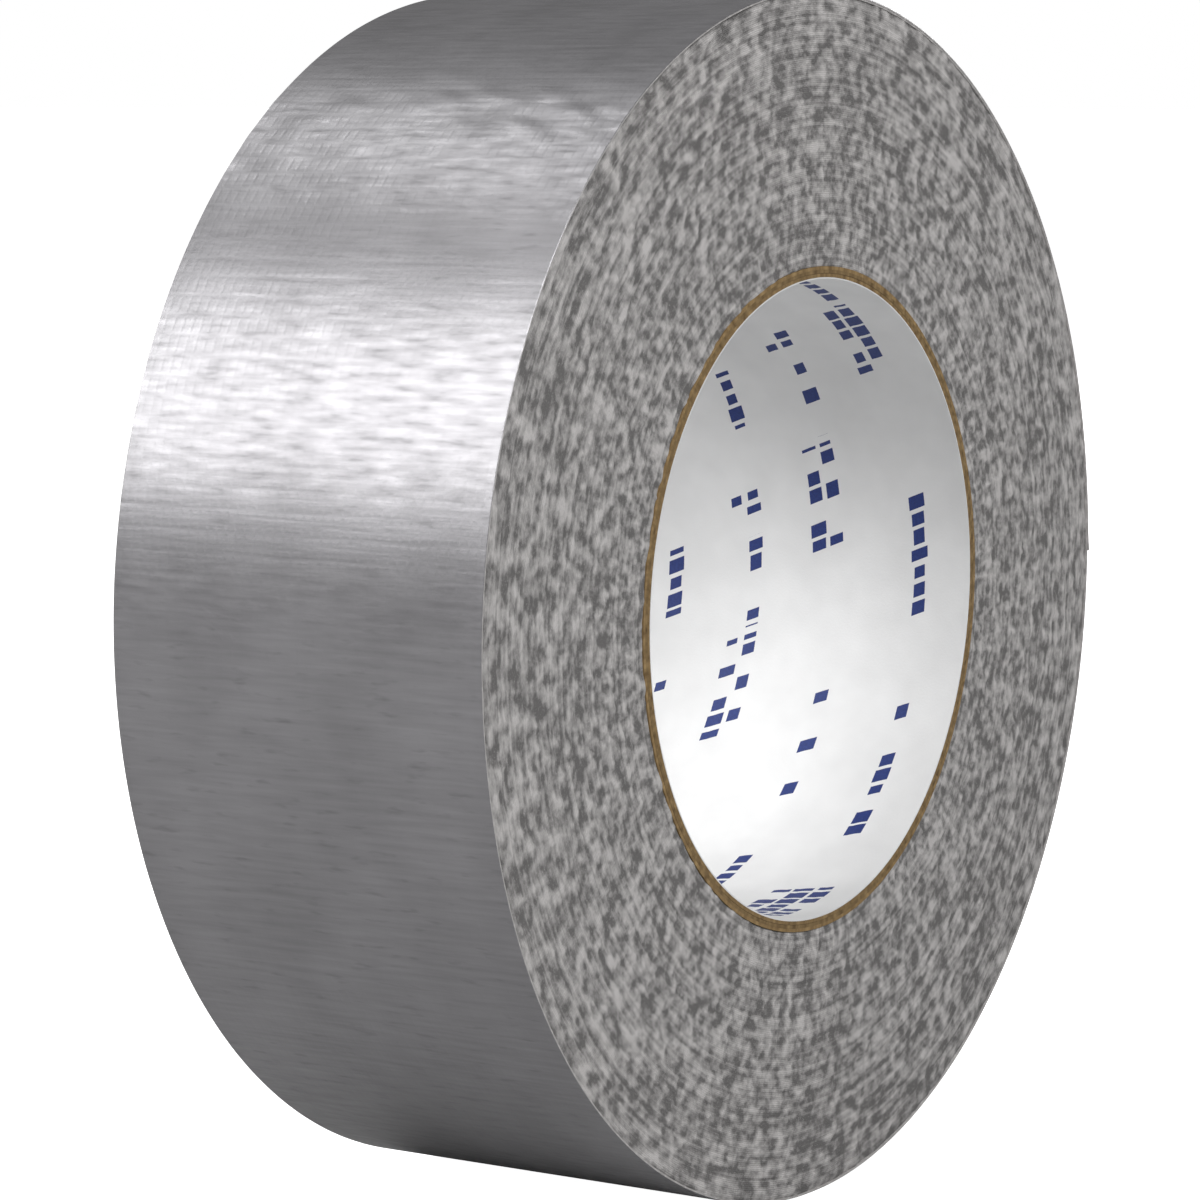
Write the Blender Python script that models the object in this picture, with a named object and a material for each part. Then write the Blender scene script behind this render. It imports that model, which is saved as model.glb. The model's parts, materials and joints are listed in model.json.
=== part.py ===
"""A roll of duct tape standing on its edge.

One strip of cloth-backed tape is wound on a core of spiral-wound paper plies. The last stretch of the
strip is a chain of short pieces, hinged along the tape's outer face, so that the free end can be peeled.

Metres, +Z up. The origin is the centre of the bore, and the bore runs along Y. Angles are in degrees in
the XZ plane, from +X towards +Z. The strip is wound with its free end pointing back down to +X.
"""

import math

import bmesh
import bpy
from mathutils import Vector

# Driving dimensions
TAPE_WIDTH = 0.050
TAPE_THICKNESS = 0.00023
OUTER_RADIUS = 0.0728  # of the free end's outer face
BORE_RADIUS = 0.0386

LINER_THICKNESS = 0.00015
PLY_THICKNESS = 0.00035
PLY_GAP = 0.0001  # between two layers that touch

SEAM_PITCH = 0.110  # how far a ply's seam advances along Y in one turn
SEAM_WIDTH = 0.0003

FREE_END_ANGLE = 0
PEEL_ANGLE = 80  # where the free end leaves the wound tape
FREE_END_PIECES = 8
PIECE_GAP = 0.0003  # between one piece of the free end and the next

FACET = 5  # degrees of arc in each flat of a round face

# Core layers from the bore outwards: name, thickness, where the seam starts, colour
CORE_LAYERS = (
    ("core_liner", LINER_THICKNESS, 100, (0.86, 0.87, 0.88)),
    ("core_ply_inner", PLY_THICKNESS, 80, (0.43, 0.31, 0.18)),
    ("core_ply_middle", PLY_THICKNESS, 320, (0.40, 0.29, 0.17)),
    ("core_ply_outer", PLY_THICKNESS, 140, (0.43, 0.31, 0.18)),
)
FILM_COLOUR = (0.47, 0.47, 0.48)


def clear_scene():
    for thing in list(bpy.data.objects):
        bpy.data.objects.remove(thing, do_unlink=True)


def point(radius, angle, y=0.0):
    """The point at this radius and angle about the bore's axis."""
    turn = math.radians(angle)
    return Vector((radius * math.cos(turn), y, radius * math.sin(turn)))


def principled(name, colour, roughness):
    material = bpy.data.materials.new(name)
    material.use_nodes = True
    shader = material.node_tree.nodes["Principled BSDF"]
    shader.inputs["Base Color"].default_value = (*colour, 1.0)
    shader.inputs["Roughness"].default_value = roughness
    shader.inputs["Metallic"].default_value = 0.0
    return material


def add_object(name, bm, material, origin=(0.0, 0.0, 0.0)):
    """An object from bm, whose vertices are in world coordinates, with its origin where given."""
    bmesh.ops.translate(bm, vec=-Vector(origin), verts=bm.verts[:])
    bmesh.ops.recalc_face_normals(bm, faces=bm.faces[:])
    mesh = bpy.data.meshes.new(name)
    bm.to_mesh(mesh)
    bm.free()
    mesh.materials.append(material)
    mesh.shade_smooth()
    mesh.set_sharp_from_angle(angle=math.radians(30))
    thing = bpy.data.objects.new(name, mesh)
    thing.location = origin
    bpy.context.collection.objects.link(thing)
    return thing


def extruded_outline(outline):
    """A closed bmesh: an outline in the XZ plane, as wide along Y as the tape."""
    bm = bmesh.new()
    front = bm.faces.new([bm.verts.new((x, -TAPE_WIDTH / 2, z)) for x, _, z in outline])
    back = bmesh.ops.extrude_face_region(bm, geom=[front])["geom"]
    moved = [item for item in back if isinstance(item, bmesh.types.BMVert)]
    bmesh.ops.translate(bm, vec=(0.0, TAPE_WIDTH, 0.0), verts=moved)
    return bm


def cut_bore(thing, radius):
    """Cuts a faceted bore along Y through an object, with a cutter longer than the tape is wide."""
    cutter_length = 1.5 * TAPE_WIDTH
    circle = [point(radius, angle) for angle in range(0, 360, FACET)]
    bm = extruded_outline(circle)
    bmesh.ops.scale(bm, vec=(1.0, cutter_length / TAPE_WIDTH, 1.0), verts=bm.verts[:])
    cutter = add_object("bore_cutter", bm, thing.data.materials[0])
    cutter.hide_render = True
    cutter.display_type = "WIRE"
    boolean = thing.modifiers.new("bore", "BOOLEAN")
    boolean.operation = "DIFFERENCE"
    boolean.object = cutter


def keep_beside_seam(polygon, start_height, end_height, side):
    """The part of a flat polygon on one side of the seam.

    Its points are (share, height), with share from 0 to 1 across one flat. The seam's edge runs from
    start_height at share 0 to end_height at share 1, and side is 1 for above it and -1 for below.
    """

    def clearance(corner):
        share, height = corner
        edge = start_height + (end_height - start_height) * share
        return side * (height - edge)

    kept = []
    for here, after in zip(polygon, polygon[1:] + polygon[:1]):
        if clearance(here) >= 0:
            kept.append(here)
        if clearance(here) * clearance(after) < 0:
            cut = clearance(here) / (clearance(here) - clearance(after))
            kept.append(tuple(a + (b - a) * cut for a, b in zip(here, after)))
    return kept


def rolled_layer(inner_radius, thickness, seam_start):
    """A closed bmesh: one strip of paper wound into a tube, open along its slanting butt seam."""
    outer_radius = inner_radius + thickness
    climb = SEAM_PITCH * FACET / 360  # of the seam in one flat
    slant = math.hypot(SEAM_PITCH, math.tau * outer_radius) / (math.tau * outer_radius)
    edge = SEAM_WIDTH / 2 * slant  # half the seam's opening, measured along Y
    half = TAPE_WIDTH / 2
    flat = [(0.0, -half), (1.0, -half), (1.0, half), (0.0, half)]
    bm = bmesh.new()
    for column in range(360 // FACET):
        start = point(outer_radius, seam_start + column * FACET)
        end = point(outer_radius, seam_start + (column + 1) * FACET)
        seam = -half + climb * (column - 0.5)
        for side in (-1, 1):
            shift = side * edge
            corners = keep_beside_seam(flat, seam + shift, seam + climb + shift, side)
            if len(corners) > 2:
                places = [start.lerp(end, share) + Vector((0, height, 0)) for share, height in corners]
                bm.faces.new([bm.verts.new(place) for place in places])
    bmesh.ops.remove_doubles(bm, verts=bm.verts[:], dist=PLY_GAP / 100)
    inside = bmesh.ops.extrude_face_region(bm, geom=bm.faces[:])["geom"]
    for item in inside:
        if isinstance(item, bmesh.types.BMVert):
            item.co.x *= inner_radius / outer_radius
            item.co.z *= inner_radius / outer_radius
    return bm


def strip_radius(angle):
    """The outer face of the last turn: it rises by one thickness in the turn that ends at the free end."""
    return OUTER_RADIUS - TAPE_THICKNESS * (angle - FREE_END_ANGLE) / 360


def make_core():
    """Adds the paper layers, each with its own seam, and returns the core's outer radius."""
    radius = BORE_RADIUS
    for name, thickness, seam_start, colour in CORE_LAYERS:
        bm = rolled_layer(radius, thickness, seam_start)
        add_object(name, bm, principled(name, colour, roughness=0.85))
        radius += thickness + PLY_GAP
    return radius


def make_wound_tape(inner_radius, film):
    """Adds all the turns up to the peel line, with room for the free end on top of them."""
    last_turn = range(PEEL_ANGLE, FREE_END_ANGLE + 360, FACET)
    under_free_end = range(FREE_END_ANGLE, PEEL_ANGLE + 1, FACET)
    sunk = TAPE_THICKNESS + PLY_GAP
    outline = [point(strip_radius(angle), angle) for angle in last_turn]
    outline += [point(strip_radius(angle) - sunk, angle) for angle in under_free_end]
    wound_tape = add_object("wound_tape", extruded_outline(outline), film)
    cut_bore(wound_tape, inner_radius)
    return wound_tape


def make_free_end(wound_tape, film):
    """Adds the strip beyond the peel line, each piece with its origin on the hinge that it turns on."""
    reach = (PEEL_ANGLE - FREE_END_ANGLE) // FREE_END_PIECES
    setback = math.degrees(PIECE_GAP / 2 / OUTER_RADIUS)
    parent, parent_place = wound_tape, Vector()
    for number in range(FREE_END_PIECES):
        hinge_angle = PEEL_ANGLE - number * reach
        between = range(hinge_angle - FACET, hinge_angle - reach, -FACET)
        angles = [hinge_angle - setback, *between, hinge_angle - reach + setback]
        outer = [point(strip_radius(angle), angle) for angle in angles]
        inner = [point(strip_radius(angle) - TAPE_THICKNESS, angle) for angle in reversed(angles)]
        hinge = point(strip_radius(hinge_angle), hinge_angle)
        piece = add_object(f"free_end_{number + 1}", extruded_outline(outer + inner), film, hinge)
        piece.parent = parent
        piece.location = hinge - parent_place
        parent, parent_place = piece, hinge


def main():
    clear_scene()
    film = principled("silver_film", FILM_COLOUR, roughness=0.4)
    core_radius = make_core()
    wound_tape = make_wound_tape(core_radius, film)
    make_free_end(wound_tape, film)


main()
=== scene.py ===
"""The looks of a roll of duct tape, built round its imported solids.

Metres, +Z up, in the solids' frame: the origin is the centre of the bore, which runs along Y. Angles are in
degrees in the XZ plane, from +X towards +Z. The strip's free end points down at +X, and the strip runs back
from it with rising angle, one tape thickness lower with each turn.
"""

import json
import math

import bpy
import numpy as np
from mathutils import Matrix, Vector


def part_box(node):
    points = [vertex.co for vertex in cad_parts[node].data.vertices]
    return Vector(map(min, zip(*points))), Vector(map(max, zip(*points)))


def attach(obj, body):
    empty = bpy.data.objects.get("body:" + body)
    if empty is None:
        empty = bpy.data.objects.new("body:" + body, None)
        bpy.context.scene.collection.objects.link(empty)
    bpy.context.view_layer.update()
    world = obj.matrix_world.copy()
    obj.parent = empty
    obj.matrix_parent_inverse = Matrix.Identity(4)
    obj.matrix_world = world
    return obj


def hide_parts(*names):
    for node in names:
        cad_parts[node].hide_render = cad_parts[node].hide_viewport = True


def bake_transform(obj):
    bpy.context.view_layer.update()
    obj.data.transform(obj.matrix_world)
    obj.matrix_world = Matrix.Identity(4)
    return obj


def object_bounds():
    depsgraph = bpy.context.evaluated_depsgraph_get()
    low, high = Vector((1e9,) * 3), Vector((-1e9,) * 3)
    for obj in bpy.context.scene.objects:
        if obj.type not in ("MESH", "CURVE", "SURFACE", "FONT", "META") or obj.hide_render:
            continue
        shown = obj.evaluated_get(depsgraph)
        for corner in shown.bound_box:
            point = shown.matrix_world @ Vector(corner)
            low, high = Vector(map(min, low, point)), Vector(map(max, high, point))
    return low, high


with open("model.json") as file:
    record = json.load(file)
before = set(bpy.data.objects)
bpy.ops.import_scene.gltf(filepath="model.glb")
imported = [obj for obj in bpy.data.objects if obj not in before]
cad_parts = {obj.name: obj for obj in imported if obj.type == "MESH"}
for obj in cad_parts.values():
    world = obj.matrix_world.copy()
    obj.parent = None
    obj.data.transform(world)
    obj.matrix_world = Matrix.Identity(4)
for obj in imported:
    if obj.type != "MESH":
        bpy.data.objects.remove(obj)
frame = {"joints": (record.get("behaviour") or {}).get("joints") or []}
cad_low, cad_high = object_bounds()

MM = 0.001

# Sizes that the solids give
OUTER_RADIUS = cad_high.x
HALF_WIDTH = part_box("wound_tape")[1].y
LINER_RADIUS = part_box("core_liner")[1].x
CORE_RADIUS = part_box("core_ply_outer")[1].x
FLOOR_HEIGHT = cad_low.z

# Sizes of the real material
TAPE_THICKNESS = 0.23 * MM
LINER_THICKNESS = 0.15 * MM
GLUE_LINE = 0.02 * MM  # between two layers of paper
SEAM_PITCH = 110 * MM  # how far a paper strip's seam advances along the bore in one turn
SEAM_HALF_GAP = 0.12 * MM
LINER_SEAM = 100  # degrees, where the liner's seam starts at the near side of the roll
CURLED_LENGTH = 4 * MM  # of the free end
CURL_HEIGHT = 0.3 * MM
STRIP_CORNER = 0.06 * MM  # how far the strip's two long edges are rounded
SLACK_ANGLE = 129  # degrees, the middle of the stretch where the film is slack and wavy
SLACK_SPREAD = 6.5

# Plies of the core from the bore outwards: solid, name, where the seam starts, how pale the board is
PLIES = (
    ("core_ply_inner", "board_inner", 80, 0.8),
    ("core_ply_middle", "board_middle", 320, 0.7),
    ("core_ply_outer", "board_outer", 140, 0.9),
)

# The cloth's threads, in millimetres from one to the next
WARP_PITCH = 1.3
WEFT_PITCH = 2.5

# The camera stands to the front left of the roll and a little above it
CAMERA_AZIMUTH = -58.05
CAMERA_ELEVATION = 6.39
CAMERA_DISTANCE = 541.1 * MM
CAMERA_AIM_RIGHT = -5.36 * MM
CAMERA_AIM_UP = -1.52 * MM
CAMERA_LENS = 131.55
SENSOR_WIDTH = 36

# The blue print inside the bore: rows of plain bars, in millimetres. Runs are start, length and lines.
PRINT_ROW_PITCH = 12.2
PRINT_ROW_START = 5.6
PRINT_ROW_SHIFT = 26.5  # how far each row's print is set back from the row before
PRINT_START = 150.0
PRINT_PERIOD = 180.0
PRINT_RUNS = ((1, 14, 3), (25, 25, 1), (60, 16, 1), (95, 14, 2), (110, 12, 1), (125, 3, 2), (137, 9, 1))
PRINT_BAR_PITCH = 2.3
PRINT_LINE_PITCH = 2.6
PRINT_SLANT = 0.4

FLOOR_REACH = 40.0
FLOOR_BOUNCE = 0.5  # how much light the floor throws back at the roll
ROOM_LIGHT = 0.10  # how brightly the world lights the roll, where the camera sees it at 1

FILM_TINT = (1.02, 1.0, 1.04)  # a cool grey
EDGE_TINT = (1.035, 1.0, 0.985)  # a warm grey

NOISE_RING_RADIUS = 48.0  # smaller draws the wound edge's pattern out further along the turns

# The wound edge's shape
EDGE_SUNK = 0.06 * MM  # below the side faces of the last turn
EDGE_RELIEF = 0.12 * MM
EDGE_ROUNDING_WIDTH = 0.2 * MM
EDGE_ROUNDING_DEPTH = 0.1 * MM

# How fine the meshes are
STRIP_STEP = 0.5  # degrees between two rows of the strip
STRIP_COLUMNS = 97
RING_STEP = 0.6  # degrees between two rows of the wound turns
RING_RADII = 73
PAPER_ROWS = 33
PAPER_COLUMNS = 361


# ---------------------------------------------------------------------------------------------- geometry


def strip_radius(angle):
    """The outer face of the strip, counted back from the free end; angle may pass 360."""
    return OUTER_RADIUS - TAPE_THICKNESS * angle / 360


def value_noise(x, y, seed, wrap=None):
    """Smooth noise from -1 to 1 with one cell per unit of x and y. It repeats every wrap cells along x."""
    x, y = np.broadcast_arrays(np.asarray(x, float), np.asarray(y, float))
    low_x, low_y = np.floor(x).astype(int), np.floor(y).astype(int)
    first_x, first_y = low_x.min(), low_y.min()
    shape = (wrap or low_x.max() - first_x + 2, low_y.max() - first_y + 2)
    lattice = np.random.default_rng(seed).uniform(-1, 1, shape)
    fraction_x, fraction_y = x - low_x, y - low_y
    ease_x = fraction_x**2 * (3 - 2 * fraction_x)
    ease_y = fraction_y**2 * (3 - 2 * fraction_y)
    column, row = (low_x - first_x) % shape[0], low_y - first_y
    after = (column + 1) % shape[0]
    lower = lattice[column, row] * (1 - ease_x) + lattice[after, row] * ease_x
    upper = lattice[column, row + 1] * (1 - ease_x) + lattice[after, row + 1] * ease_x
    return lower * (1 - ease_y) + upper * ease_y


def make_object(name, mesh, materials):
    for material in materials:
        mesh.materials.append(material)
    thing = bpy.data.objects.new(name, mesh)
    bpy.context.scene.collection.objects.link(thing)
    return thing


def loft(name, rings, uvs, slots, materials, closed_along):
    """A closed mesh through rings of points, shape (rings, points, 3).

    Each ring is a closed loop. uvs has one pair per point, slots one material number per stretch between
    two points of a ring. The mesh closes on itself along the rings, or else is capped at both ends.
    """
    count, size = rings.shape[:2]
    along = np.arange(count if closed_along else count - 1)[:, None]
    across = np.arange(size)[None, :]
    after, beside = (along + 1) % count, (across + 1) % size
    corners = [(along, across), (along, beside), (after, beside), (after, across)]
    quads = np.stack([i * size + j for i, j in corners], axis=-1).reshape(-1, 4)
    faces = quads.tolist()
    face_slots = np.broadcast_to(slots, (len(along), size)).ravel().tolist()
    if not closed_along:
        faces.append(list(range(size))[::-1])
        faces.append(list(range((count - 1) * size, count * size)))
        face_slots += [slots[-1], slots[-1]]
    mesh = bpy.data.meshes.new(name)
    mesh.from_pydata(rings.reshape(-1, 3).tolist(), [], faces)
    mesh.polygons.foreach_set("material_index", face_slots)
    layer = mesh.uv_layers.new(name="strip")
    corner_points = np.empty(len(mesh.loops), int)
    mesh.loops.foreach_get("vertex_index", corner_points)
    layer.data.foreach_set("uv", uvs.reshape(-1, 2)[corner_points].ravel())
    mesh.shade_smooth()
    mesh.set_sharp_from_angle(angle=math.radians(40))
    return make_object(name, mesh, materials)


def on_roll(radius, angle, y):
    """Points at these radii, angles and widths, as one array with a last axis of three."""
    turn = np.radians(angle)
    return np.stack(np.broadcast_arrays(radius * np.cos(turn), y, radius * np.sin(turn)), axis=-1)


# --------------------------------------------------------------------------------------------- materials


class Tree:
    """A material's nodes. Each method adds a node and returns an output, or takes the shader's input."""

    def __init__(self, name):
        self.material = bpy.data.materials.new(name)
        self.material.use_nodes = True
        self.nodes = self.material.node_tree.nodes
        self.links = self.material.node_tree.links
        self.shader = self.nodes["Principled BSDF"]

    def connect(self, value, socket):
        if isinstance(value, bpy.types.NodeSocket):
            self.links.new(value, socket)
        else:
            socket.default_value = value

    def add(self, kind, inputs, **settings):
        made = self.nodes.new(kind)
        for key, value in settings.items():
            setattr(made, key, value)
        for key, value in inputs.items():
            self.connect(value, made.inputs[key])
        return made

    def math(self, operation, *values):
        return self.add("ShaderNodeMath", dict(enumerate(values)), operation=operation).outputs[0]

    def vector_math(self, operation, inputs):
        return self.add("ShaderNodeVectorMath", inputs, operation=operation).outputs[0]

    def combine(self, x, y, z=0.0):
        return self.add("ShaderNodeCombineXYZ", {"X": x, "Y": y, "Z": z}).outputs[0]

    def split_uv(self):
        """How far back along the strip and how far across it a point is, in millimetres."""
        uv = self.add("ShaderNodeUVMap", {}, uv_map="strip").outputs[0]
        scaled = self.vector_math("SCALE", {0: uv, "Scale": 1 / MM})
        parts = self.add("ShaderNodeSeparateXYZ", {0: scaled}).outputs
        return parts[0], parts[1]

    def noise(self, vector, scale=1.0, detail=2.0, roughness=0.5):
        inputs = {"Vector": vector, "Scale": scale, "Detail": detail, "Roughness": roughness}
        return self.add("ShaderNodeTexNoise", inputs).outputs[0]

    def remap(self, value, low, high, to_low=0.0, to_high=1.0):
        inputs = {"Value": value, "From Min": low, "From Max": high, "To Min": to_low, "To Max": to_high}
        return self.add("ShaderNodeMapRange", inputs).outputs[0]

    def mix(self, share, first, second):
        """The colour between two colours."""
        made = self.add("ShaderNodeMix", {}, data_type="RGBA")
        self.connect(share, made.inputs[0])
        self.connect(first, made.inputs[6])
        self.connect(second, made.inputs[7])
        return made.outputs[2]

    def bump(self, height, distance):
        """Drives the shader's normal by a height from 0 to 1 that stands for distance in metres."""
        made = self.add("ShaderNodeBump", {"Height": height, "Distance": distance, "Strength": 1.0})
        self.connect(made.outputs[0], self.shader.inputs["Normal"])

    def surface(self, **inputs):
        for key, value in inputs.items():
            self.connect(value, self.shader.inputs[key.replace("_", " ")])
        return self.material


def grey(level):
    return (level, level, level, 1.0)


def tint(level, shares):
    return (*(level * share for share in shares), 1.0)


def cloth_threads(tree, along, across, warp_sharpness, weft_sharpness):
    """1 along the middle of each thread and 0 between threads. Sharper threads look thinner."""
    crests = []
    warp = (across, WARP_PITCH, warp_sharpness)
    weft = (along, WEFT_PITCH, weft_sharpness)
    for place, pitch, sharpness in (warp, weft):
        wave = tree.math("ABSOLUTE", tree.math("SINE", tree.math("MULTIPLY", place, math.pi / pitch)))
        crests.append(tree.math("POWER", wave, sharpness))
    return tree.math("MAXIMUM", *crests)


def film_material():
    """Silver polythene film, with the cloth's threads pressed through it."""
    tree = Tree("silver_film")
    along, across = tree.split_uv()
    cloudy = tree.noise(
        tree.combine(tree.math("MULTIPLY", along, 0.05), tree.math("MULTIPLY", across, 0.08))
    )
    streaks = tree.noise(
        tree.combine(tree.math("MULTIPLY", along, 1.4), tree.math("MULTIPLY", across, 0.09)), detail=4.0
    )
    dashes = tree.noise(
        tree.combine(tree.math("MULTIPLY", along, 1.1), tree.math("MULTIPLY", across, 0.22)), detail=2.0
    )
    weave = cloth_threads(tree, along, across, warp_sharpness=6.0, weft_sharpness=8.0)
    grain = tree.noise(tree.combine(along, across), scale=2.2, detail=3.0)
    shade = tree.math("ADD", tree.math("MULTIPLY", cloudy, 0.5), tree.math("MULTIPLY", streaks, 0.5))
    colour = tree.mix(tree.remap(shade, 0.35, 0.65), tint(0.215, FILM_TINT), tint(0.28, FILM_TINT))
    worn = tree.mix(tree.remap(dashes, 0.6, 0.78, 0.0, 0.4), colour, tint(0.12, FILM_TINT))
    height = tree.math(
        "ADD",
        tree.math("MULTIPLY", weave, 0.35),
        tree.math("ADD", tree.math("MULTIPLY", streaks, 0.8), tree.math("MULTIPLY", grain, 0.35)),
    )
    tree.bump(height, 0.022 * MM)
    return tree.surface(Base_Color=worn, Metallic=0.6, Roughness=tree.remap(dashes, 0.3, 0.7, 0.31, 0.43))


def adhesive_material():
    """The sticky side: grey rubber adhesive with the cloth's grid showing through."""
    tree = Tree("adhesive")
    along, across = tree.split_uv()
    threads = cloth_threads(tree, along, across, warp_sharpness=10.0, weft_sharpness=14.0)
    patchy = tree.noise(tree.combine(along, across), scale=0.5, detail=4.0)
    base = tree.mix(patchy, tint(0.34, EDGE_TINT), tint(0.46, EDGE_TINT))
    colour = tree.mix(tree.math("MULTIPLY", threads, 0.5), base, tint(0.62, EDGE_TINT))
    tree.bump(tree.math("ADD", threads, patchy), 0.03 * MM)
    return tree.surface(Base_Color=colour, Roughness=0.5)


def wound_edge_material():
    """The cut side of the winding: film edges, soft adhesive and the pale, fluffy ends of the threads.
    Painted shade darkens the hollows of its relief.

    The noise is read on a ring, so that it closes on itself all the way round.
    """
    tree = Tree("wound_edge")
    _, inwards = tree.split_uv()
    position = tree.add("ShaderNodeTexCoord", {}).outputs["Object"]
    flat = tree.vector_math("MULTIPLY", {0: position, 1: (1.0, 0.0, 1.0)})
    spoke = tree.vector_math("NORMALIZE", {0: flat})
    round_way = tree.vector_math("SCALE", {0: spoke, "Scale": NOISE_RING_RADIUS})
    place = tree.vector_math("ADD", {0: round_way, 1: tree.combine(0.0, inwards)})
    turn = tree.math("FRACT", tree.math("DIVIDE", inwards, TAPE_THICKNESS / MM))
    lines = tree.math("ABSOLUTE", tree.math("SUBTRACT", turn, 0.5))
    relief = tree.add("ShaderNodeAttribute", {}, attribute_name="relief").outputs["Fac"]
    tufts = tree.noise(place, scale=0.7, detail=4.0, roughness=0.5)
    fluff = tree.noise(place, scale=5.0, detail=3.0, roughness=0.6)
    rings = tree.noise(tree.combine(0.0, inwards), scale=1.6, detail=2.0)
    # Painted shade: darker in the hollows of the relief and lighter on its ridges; the rings are random
    # tone.
    hollow_shade_and_rings = tree.math(
        "ADD",
        tree.remap(relief, -1.0, 1.0, -0.2, 0.2),
        tree.remap(rings, 0.3, 0.7, -0.22, 0.22),
    )
    pale = tree.math("ADD", tree.remap(tufts, 0.32, 0.68), hollow_shade_and_rings)
    base = tree.mix(tree.remap(pale, 0.05, 0.95), tint(0.13, EDGE_TINT), tint(0.56, EDGE_TINT))
    lined = tree.mix(tree.remap(lines, 0.3, 0.5, 0.0, 0.35), base, tint(0.16, EDGE_TINT))
    colour = tree.mix(tree.remap(fluff, 0.55, 0.75, 0.0, 0.4), lined, tint(0.6, EDGE_TINT))
    height = tree.math("ADD", tree.math("MULTIPLY", fluff, 0.6), tree.math("MULTIPLY", tufts, 1.2))
    tree.bump(tree.math("SUBTRACT", height, tree.math("MULTIPLY", lines, 0.5)), 0.12 * MM)
    return tree.surface(Base_Color=colour, Roughness=tree.remap(fluff, 0.3, 0.7, 0.55, 0.8))


def print_mask(tree, along, across):
    """1 on the printed bars and 0 between them. Every row repeats the same runs, further back each time."""
    row_place = tree.math("DIVIDE", tree.math("ADD", across, PRINT_ROW_START), PRINT_ROW_PITCH)
    row = tree.math("ROUND", row_place)
    off_row = tree.math("MULTIPLY", tree.math("SUBTRACT", row_place, row), PRINT_ROW_PITCH)
    shifted = tree.math("MULTIPLY_ADD", row, PRINT_ROW_SHIFT, tree.math("SUBTRACT", along, PRINT_START))
    slanted = tree.math("MULTIPLY_ADD", off_row, PRINT_SLANT, shifted)
    reach = tree.math("WRAP", slanted, PRINT_PERIOD, 0.0)
    line_place = tree.math("DIVIDE", off_row, PRINT_LINE_PITCH)
    inked = 0.0
    for start, length, lines in PRINT_RUNS:
        aside = tree.math("ABSOLUTE", tree.math("SUBTRACT", reach, start + length / 2))
        above = tree.math("ABSOLUTE", tree.math("SUBTRACT", line_place, 0.5 if lines == 2 else 0.0))
        in_run = tree.math("LESS_THAN", aside, length / 2)
        in_lines = tree.math("LESS_THAN", above, lines / 2)
        inked = tree.math("MAXIMUM", inked, tree.math("MULTIPLY", in_run, in_lines))
    bar_place = tree.math("DIVIDE", reach, PRINT_BAR_PITCH)
    line_cell = tree.math("ADD", line_place, 0.5)
    cell = tree.combine(tree.math("FLOOR", bar_place), tree.math("FLOOR", line_cell), row)
    chance = tree.add("ShaderNodeTexWhiteNoise", {"Vector": cell}).outputs
    wide = tree.math("ABSOLUTE", tree.math("SUBTRACT", tree.math("FRACT", bar_place), 0.5))
    high = tree.math("ABSOLUTE", tree.math("SUBTRACT", tree.math("FRACT", line_cell), 0.5))
    sizes = tree.add("ShaderNodeSeparateColor", {0: chance[1]}).outputs
    narrow = tree.math("LESS_THAN", wide, tree.remap(sizes[0], 0.0, 1.0, 0.22, 0.46))
    short = tree.math("LESS_THAN", high, tree.remap(sizes[1], 0.0, 1.0, 0.28, 0.46))
    in_bar = tree.math("MULTIPLY", narrow, short)
    printed = tree.math("MULTIPLY", in_bar, tree.math("GREATER_THAN", chance[0], 0.3))
    return tree.math("MULTIPLY", printed, inked)


def paper_material():
    """White liner paper with rows of small blue printed bars that spell nothing."""
    tree = Tree("liner_paper")
    along, across = tree.split_uv()
    fibres = tree.noise(tree.combine(along, across), scale=3.0, detail=5.0, roughness=0.65)
    blotches = tree.noise(tree.combine(along, across), scale=0.15, detail=2.0)
    paper = tree.mix(tree.remap(blotches, 0.3, 0.7), grey(0.72), grey(0.78))
    ink = tree.mix(tree.remap(fibres, 0.35, 0.65), (0.008, 0.022, 0.13, 1.0), (0.014, 0.035, 0.19, 1.0))
    colour = tree.mix(print_mask(tree, along, across), paper, ink)
    tree.bump(fibres, 0.03 * MM)
    return tree.surface(Base_Color=colour, Roughness=0.6)


def board_material(name, shade):
    """Raw brown board, cut across its plies."""
    tree = Tree(name)
    along, across = tree.split_uv()
    fibres = tree.noise(
        tree.combine(tree.math("MULTIPLY", along, 0.8), tree.math("MULTIPLY", across, 6.0)), detail=5.0
    )
    dark = (0.16 * shade, 0.095 * shade, 0.035 * shade, 1.0)
    light = (0.40 * shade, 0.27 * shade, 0.12 * shade, 1.0)
    colour = tree.mix(tree.remap(fibres, 0.35, 0.65), dark, light)
    tree.bump(fibres, 0.06 * MM)
    return tree.surface(Base_Color=colour, Roughness=0.9)


# ------------------------------------------------------------------------------------------------ pieces


def ripple(angle, y):
    """How far the film stands off its round, in metres: cross streaks, and a slack, wavy stretch."""
    back = np.radians(angle) * OUTER_RADIUS / MM
    across = np.asarray(y) / MM
    streaks = value_noise(back / 1.7, across / 14, 11) * 0.006
    swells = value_noise(back / 11, across / 17, 12) * 0.02
    slack = np.exp(-(((np.asarray(angle) - SLACK_ANGLE) / SLACK_SPREAD) ** 2))
    waves = value_noise(back / 2.2 + across / 9, across / 4.5, 13) * 0.11 * slack
    return (streaks + swells + waves) * MM


def end_share(angle):
    """From 0 where the curled stretch at the free end begins to 1 at its edge."""
    return np.clip(1 - np.radians(np.abs(angle)) * OUTER_RADIUS / CURLED_LENGTH, 0, 1)


def end_tear(angle, y):
    """How far the torn edge of the free end is pulled out of line, in degrees."""
    across = np.asarray(y) / MM
    ragged = value_noise(across / 1.1, across * 0, 15) * 0.25 + value_noise(across / 6, across * 0, 16) * 0.5
    return np.degrees(ragged * end_share(angle) * MM / OUTER_RADIUS)


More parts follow.
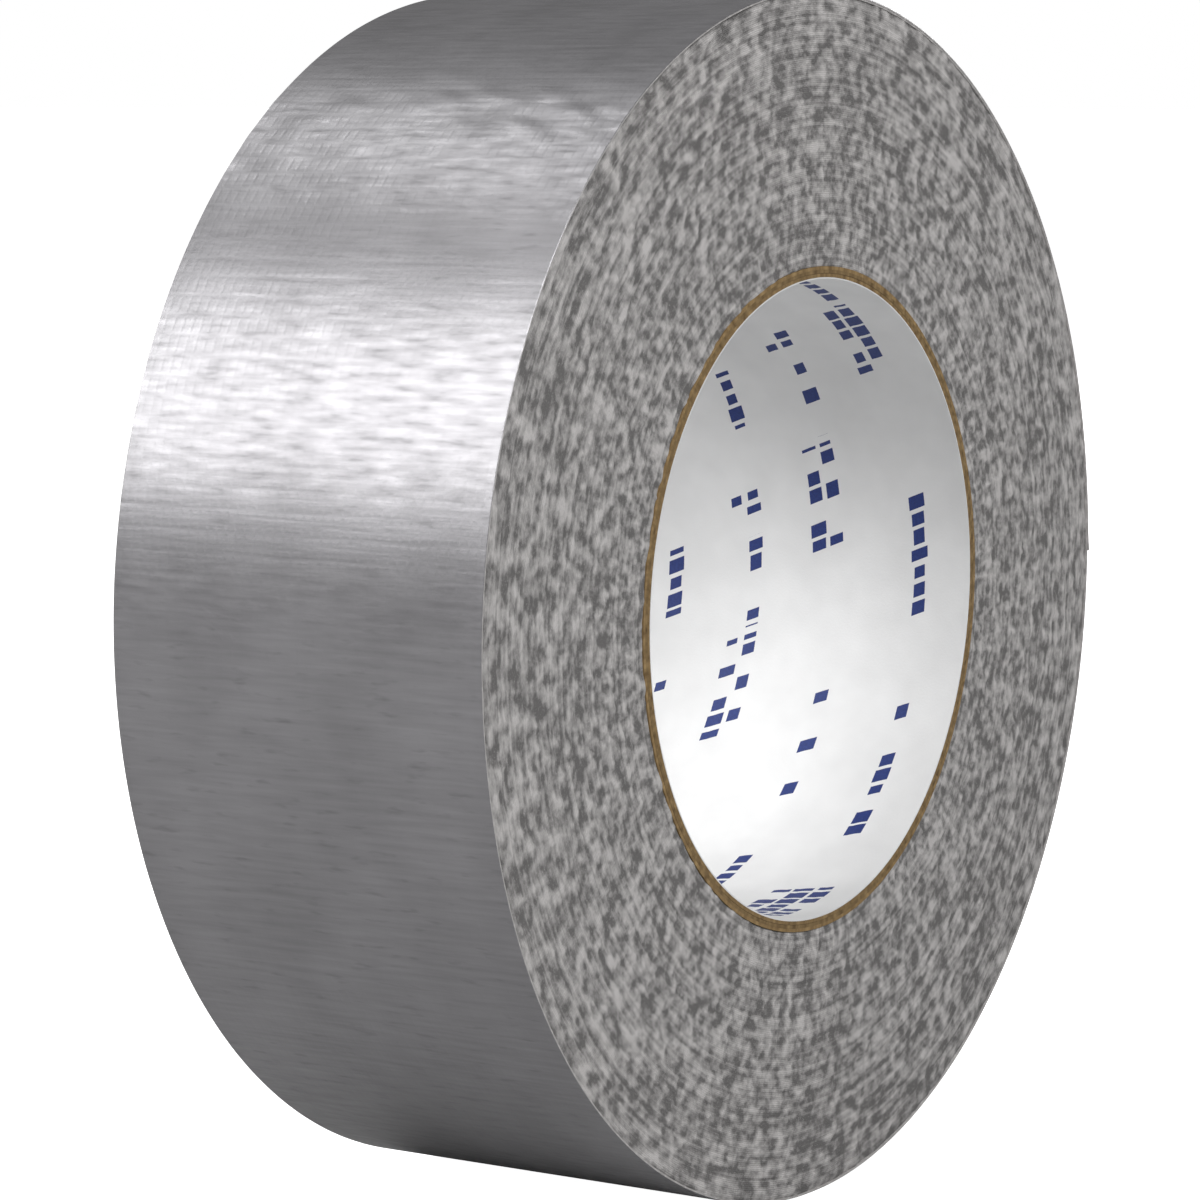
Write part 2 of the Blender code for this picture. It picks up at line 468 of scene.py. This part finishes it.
def strip_profile():
    """Across the strip, over its outer face and back under it: y, depth below the face, material number."""
    flat = np.linspace(-HALF_WIDTH + STRIP_CORNER, HALF_WIDTH - STRIP_CORNER, STRIP_COLUMNS)
    top = [(-HALF_WIDTH, STRIP_CORNER), *((y, 0.0) for y in flat), (HALF_WIDTH, STRIP_CORNER)]
    under = [(HALF_WIDTH, TAPE_THICKNESS), (-HALF_WIDTH, TAPE_THICKNESS)]
    slots = [0] * (len(top) - 1) + [1, 1, 1]
    y, depth = np.array(top + under).T
    return y, depth, slots


def strip_piece(name, from_angle, to_angle, materials):
    """A closed stretch of the strip between two angles, counted back from the free end."""
    y, depth, slots = strip_profile()
    steps = round(abs(to_angle - from_angle) / STRIP_STEP)
    angles = np.linspace(from_angle, to_angle, steps + 1)[:, None]
    curl = end_share(angles) ** 2 * CURL_HEIGHT
    radius = strip_radius(angles) - depth[None, :] + ripple(angles, y[None, :]) + curl
    rings = on_roll(radius, angles + end_tear(angles, y[None, :]), y[None, :])
    back = np.radians(angles) * OUTER_RADIUS
    uvs = np.stack(np.broadcast_arrays(back, y[None, :]), axis=-1)
    if to_angle > from_angle:
        rings, uvs, slots = rings[:, ::-1], uvs[:, ::-1], [*slots[-2::-1], slots[-1]]
    return loft(name, rings, uvs, slots, materials, closed_along=False)


def make_tape(film, adhesive):
    """The last turn, fixed to the roll, and the free end, one piece across each hinge."""
    hinges = [j for j in frame["joints"] if j["name"].startswith("peel_")]
    places = [math.degrees(math.atan2(j["pos_m"][2], j["pos_m"][0])) for j in hinges]
    reach = places[0] - places[1]
    start = places[0] + reach / 2
    last_turn = strip_piece("last_turn", start + 360, start, [film, adhesive])
    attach(last_turn, "roll")
    for number, (joint, angle) in enumerate(zip(hinges, places), 1):
        before, beyond = angle + reach / 2, angle - reach / 2
        last = joint is hinges[-1]
        piece = strip_piece(f"free_end_skin_{number}", before, 0.0 if last else beyond, [film, adhesive])
        start_at, end_at = (Vector(on_roll(OUTER_RADIUS, at, 0.0)) for at in (before, beyond))
        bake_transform(piece)
        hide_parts(f"free_end_{number}")


def edge_relief(angle, radius, seed):
    """The wound edge's height from -1 to 1: worm-like ridges, a little drawn out along the turns."""
    depth = (OUTER_RADIUS - radius) / MM
    height = 0.0
    for cells, thick, weight, step in ((90, 2.6, 0.6, 1), (170, 1.5, 0.6, 2)):
        bend = value_noise(angle / 360 * 40, depth / 6, seed + step + 10, wrap=40)
        ridge = value_noise(angle / 360 * cells, depth / thick + bend, seed + step, wrap=cells)
        height = height + weight * (1 - 4 * np.abs(ridge))
    return np.clip(height, -1.0, 1.0)


def make_wound_turns(edge, film):
    """All the turns under the last one, as one ring whose two sides show their cut edges."""
    inner = CORE_RADIUS + GLUE_LINE
    angles = np.arange(0, 360, RING_STEP)[:, None]
    outer = strip_radius(angles + 360) - GLUE_LINE
    shares = np.linspace(0, 1, RING_RADII)[None, :]
    radius = inner + (outer - inner) * shares
    rounding = np.exp(-((outer - radius) / EDGE_ROUNDING_WIDTH) ** 2) * EDGE_ROUNDING_DEPTH
    sides, reliefs = [], []
    for side, seed in ((-1, 40), (1, 60)):
        relief = edge_relief(angles, radius, seed)
        proud = relief * EDGE_RELIEF - rounding
        sides.append(on_roll(radius, angles, side * (HALF_WIDTH - EDGE_SUNK + proud)))
        reliefs.append(relief)
    rings = np.concatenate([sides[0], sides[1][:, ::-1]], axis=1)
    back = np.radians(angles) * OUTER_RADIUS
    uv = np.stack(np.broadcast_arrays(back, outer - radius), axis=-1)
    uvs = np.concatenate([uv, uv[:, ::-1]], axis=1)
    count = radius.shape[1]
    slots = [0] * (count - 1) + [1] + [0] * (count - 1) + [1]
    ring = loft("wound_turns", rings[:, ::-1], uvs[:, ::-1], slots[-2::-1] + slots[-1:], [edge, film], True)
    values = np.concatenate([reliefs[0], reliefs[1][:, ::-1]], axis=1)[:, ::-1]
    # The relief also goes to the edge's material, which paints shade from it: darker in hollows, lighter on
    # ridges.
    attribute = ring.data.attributes.new("relief", "FLOAT", "POINT")
    attribute.data.foreach_set("value", values.astype(np.float32).ravel())
    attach(ring, "roll")
    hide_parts("wound_tape")


def rolled_layer(name, node, inner, outer, seam_start, material):
    """One strip of paper wound into a tube, with its butt seam slanting across the bore."""
    ys = np.linspace(-HALF_WIDTH, HALF_WIDTH, PAPER_ROWS)[:, None]
    gap = math.degrees(SEAM_HALF_GAP / inner)
    seam = seam_start + (ys + HALF_WIDTH) / SEAM_PITCH * 360
    turn = np.linspace(gap, 360 - gap, PAPER_COLUMNS)[None, :]
    angles = seam + turn
    wander = value_noise(angles / 360 * 24, ys / (15 * MM), 70 + seam_start, wrap=24) * 0.04 * MM
    face_in = on_roll(inner + wander, angles, ys)
    face_out = on_roll(outer + wander, angles, ys)
    rings = np.concatenate([face_in, face_out[:, ::-1]], axis=1)
    along = np.radians(angles) * inner
    uv = np.stack(np.broadcast_arrays(along, ys), axis=-1)
    uvs = np.concatenate([uv, uv[:, ::-1]], axis=1)
    slots = [0] * rings.shape[1]
    tube = loft(name, rings, uvs, slots, [material], closed_along=False)
    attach(tube, "roll")
    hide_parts(node)


def make_core():
    """The printed liner and the brown plies round it."""
    bore = LINER_RADIUS - LINER_THICKNESS
    rolled_layer("liner", "core_liner", bore, LINER_RADIUS, LINER_SEAM, paper_material())
    radius = LINER_RADIUS
    for node, name, seam, shade in PLIES:
        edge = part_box(node)[1].x
        board = board_material(name, shade)
        rolled_layer(name, node, radius + GLUE_LINE, edge, seam, board)
        radius = edge


# --------------------------------------------------------------------------------------------- the stage


def make_camera():
    azimuth, elevation = math.radians(CAMERA_AZIMUTH), math.radians(CAMERA_ELEVATION)
    back = Vector((
        math.sin(azimuth) * math.cos(elevation),
        -math.cos(azimuth) * math.cos(elevation),
        math.sin(elevation),
    ))
    right = Vector((math.cos(azimuth), math.sin(azimuth), 0.0))
    aim = right * CAMERA_AIM_RIGHT + back.cross(right) * CAMERA_AIM_UP
    camera = bpy.data.objects.new("camera", bpy.data.cameras.new("camera"))
    camera.data.lens = CAMERA_LENS
    camera.data.sensor_width = SENSOR_WIDTH
    camera.data.clip_start = 0.01
    camera.location = back * CAMERA_DISTANCE
    camera.rotation_euler = (camera.location - aim).to_track_quat("Z", "Y").to_euler()
    bpy.context.scene.collection.objects.link(camera)
    bpy.context.scene.camera = camera


def soft_light(name, towards, distance, size, power):
    """A rectangular studio light, in metres and watts, that faces the roll from the direction given."""
    light = bpy.data.objects.new(name, bpy.data.lights.new(name, "AREA"))
    light.data.shape = "RECTANGLE"
    light.data.size, light.data.size_y = size
    light.data.energy = power
    light.location = Vector(towards).normalized() * distance
    light.rotation_euler = light.location.to_track_quat("Z", "Y").to_euler()
    light.visible_camera = False
    bpy.context.scene.collection.objects.link(light)


def seen_or_lighting(nodes, links, seen, lighting, target):
    """Shows one shader to the camera, and lights the roll with the other."""
    path = nodes.new("ShaderNodeLightPath")
    mix = nodes.new("ShaderNodeMixShader")
    links.new(path.outputs["Is Camera Ray"], mix.inputs[0])
    links.new(lighting.outputs[0], mix.inputs[1])
    links.new(seen.outputs[0], mix.inputs[2])
    links.new(mix.outputs[0], target.inputs["Surface"])


def make_floor():
    """A floor that the camera sees as plain white, without shadows."""
    mesh = bpy.data.meshes.new("floor")
    corners = [(-FLOOR_REACH, -FLOOR_REACH), (FLOOR_REACH, -FLOOR_REACH)]
    corners += [(-x, -y) for x, y in corners]
    mesh.from_pydata([(x, y, FLOOR_HEIGHT) for x, y in corners], [], [(0, 1, 2, 3)])
    tree = Tree("pale_floor")
    tree.surface(Base_Color=grey(0.85), Roughness=0.9, Emission_Color=grey(1.0), Emission_Strength=1.0)
    quiet = tree.add("ShaderNodeBsdfDiffuse", {"Color": grey(FLOOR_BOUNCE)})
    output = tree.nodes["Material Output"]
    seen_or_lighting(tree.nodes, tree.links, tree.shader, quiet, output)
    make_object("floor", mesh, [tree.material])


def make_world():
    world = bpy.data.worlds.new("studio")
    world.use_nodes = True
    nodes, links = world.node_tree.nodes, world.node_tree.links
    seen = nodes["Background"]
    seen.inputs["Color"].default_value = grey(1.0)
    quiet = nodes.new("ShaderNodeBackground")
    quiet.inputs["Color"].default_value = grey(1.0)
    quiet.inputs["Strength"].default_value = ROOM_LIGHT
    seen_or_lighting(nodes, links, seen, quiet, nodes["World Output"])
    bpy.context.scene.world = world


def make_stage():
    make_floor()
    make_world()
    bpy.context.scene.view_settings.view_transform = "Standard"
    soft_light("key", (-0.665, 0.526, 0.529), 1.2, (0.5, 0.7), 9)
    soft_light("top", (-0.01, 0.53, 0.85), 1.2, (0.5, 0.05), 1.5)
    soft_light("fill", (-0.5, -0.8, 0.8), 1.5, (0.8, 0.8), 18)
    soft_light("side", (1.0, 0.15, 0.3), 1.5, (0.8, 0.6), 9)


make_camera()
film = film_material()
make_tape(film, adhesive_material())
make_wound_turns(wound_edge_material(), film)
make_core()
make_stage()
